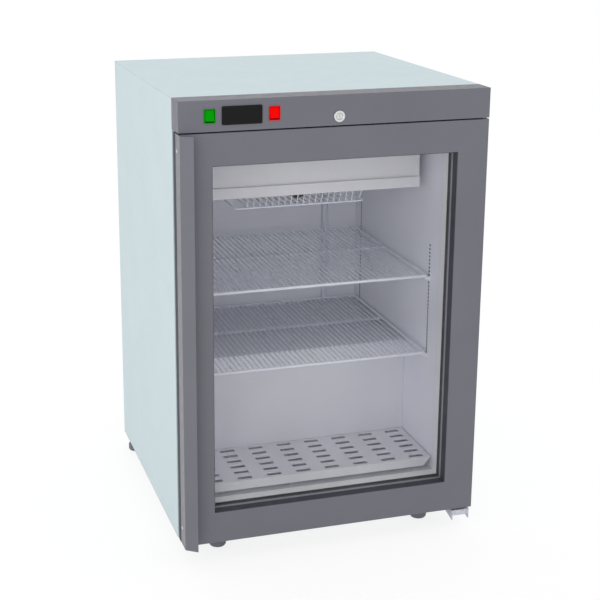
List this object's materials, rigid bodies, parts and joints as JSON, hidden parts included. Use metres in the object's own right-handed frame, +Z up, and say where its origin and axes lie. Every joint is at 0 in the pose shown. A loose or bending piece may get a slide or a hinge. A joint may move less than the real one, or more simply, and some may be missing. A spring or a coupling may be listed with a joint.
{
  "type": "under-counter fridge",
  "caption": "Under-counter fridge with a hinged glass door, full-height finger pull, control fascia with rocker switches and key lock, wire shelves and a fan-cooled compartment.",
  "frame": {"origin": "on the floor, under the middle of the fridge's bounding box", "axes": "+Z up, -Y out of the door, +X towards the hinge side"},
  "size_m": [0.6, 0.617, 0.898],
  "materials": {
    "pale_paint": "satin",
    "grey_frame": "satin",
    "grey_paint": "satin",
    "white_sheet": "satin",
    "white_plastic": "satin",
    "white_wire": "satin",
    "zinc": "satin",
    "copper": "satin",
    "black_steel": "matte",
    "black_plastic": "satin",
    "dark_rubber": "matte",
    "glass": "polished",
    "aluminium": "satin",
    "foam": "matte",
    "green_plastic": "gloss",
    "red_plastic": "gloss",
    "silver": "polished"
  },
  "bodies": {
    "cabinet": {"left_side_panel": "pale_paint", "right_side_panel": "pale_paint", "top_panel": "pale_paint", "back_panel": "zinc", "base_plate": "zinc", "rear_grille": "zinc", "insulation_foam": "foam", "liner_left_side": "white_sheet", "liner_right_side": "white_sheet", "liner_ceiling": "white_sheet", "liner_back_wall": "white_sheet", "liner_step": "white_sheet", "liner_floor": "white_sheet", "breaker_frame": "white_plastic", "upper_shelf": "white_wire", "lower_shelf": "white_wire", "upper_left_support": "white_plastic", "upper_right_support": "white_plastic", "lower_left_support": "white_plastic", "lower_right_support": "white_plastic", "floor_tray": "white_sheet", "evaporator_cover": "white_sheet", "drain_tube": "white_plastic", "evaporator_coil": "copper", "coil_hanger": "zinc", "fan_motor": "black_plastic", "fan_guard": "white_wire", "control_fascia": "grey_paint", "controller_body": "black_plastic", "display_lens": "black_plastic", "green_housing": "green_plastic", "red_housing": "red_plastic", "lock_barrel": "silver", "bottom_hinge_bracket": "zinc", "top_hinge_bracket": "zinc", "compressor_shell": "black_steel", "compressor_plinth": "zinc", "evaporation_tray": "black_plastic", "condenser_coil": "black_steel"},
    "door": {"door_left_stile": "grey_frame", "door_right_stile": "grey_frame", "door_top_rail": "grey_frame", "door_bottom_rail": "grey_frame", "outer_glass": "glass", "glass_spacer": "aluminium", "inner_glass": "glass", "glazing_bead": "black_plastic", "door_gasket": "dark_rubber", "door_handle": "grey_paint", "bottom_hinge_bush": "black_plastic", "top_hinge_bush": "black_plastic"},
    "lock": {"lock_plug": "silver", "lock_cam": "zinc"},
    "green_switch": {"green_rocker": "green_plastic"},
    "red_switch": {"red_rocker": "red_plastic"},
    "fan": {"fan_blades": "black_plastic"},
    "front_left_foot": {"foot_front_left": "dark_rubber"},
    "front_right_foot": {"foot_front_right": "dark_rubber"},
    "rear_left_foot": {"foot_rear_left": "dark_rubber"},
    "rear_right_foot": {"foot_rear_right": "dark_rubber"}
  },
  "joints": [
    {"name": "door_hinge", "type": "hinge", "parent": "cabinet", "child": "door", "pos_m": [0.286, -0.2615, 0.44], "axis": [0, 0, 1], "range_deg": [0, 105]},
    {"name": "lock_turn", "type": "hinge", "parent": "cabinet", "child": "lock", "pos_m": [0, -0.2605, 0.8583], "axis": [0, 1, 0], "range_deg": [0, 90]},
    {"name": "green_rocker_tilt", "type": "hinge", "parent": "cabinet", "child": "green_switch", "pos_m": [-0.2427, -0.2768, 0.86975], "axis": [1, 0, 0], "range_deg": [0, 16]},
    {"name": "red_rocker_tilt", "type": "hinge", "parent": "cabinet", "child": "red_switch", "pos_m": [-0.123, -0.2768, 0.86975], "axis": [1, 0, 0], "range_deg": [0, 16]},
    {"name": "fan_spin", "type": "hinge", "parent": "cabinet", "child": "fan", "pos_m": [-0.012, 0.0035, 0.67], "axis": [0, 0, 1], "continuous": true},
    {"name": "front_left_foot_screw", "type": "slide", "parent": "cabinet", "child": "front_left_foot", "axis": [0, 0, -1], "range_m": [0, 0.015]},
    {"name": "front_right_foot_screw", "type": "slide", "parent": "cabinet", "child": "front_right_foot", "axis": [0, 0, -1], "range_m": [0, 0.015]},
    {"name": "rear_left_foot_screw", "type": "slide", "parent": "cabinet", "child": "rear_left_foot", "axis": [0, 0, -1], "range_m": [0, 0.015]},
    {"name": "rear_right_foot_screw", "type": "slide", "parent": "cabinet", "child": "rear_right_foot", "axis": [0, 0, -1], "range_m": [0, 0.015]}
  ]
}
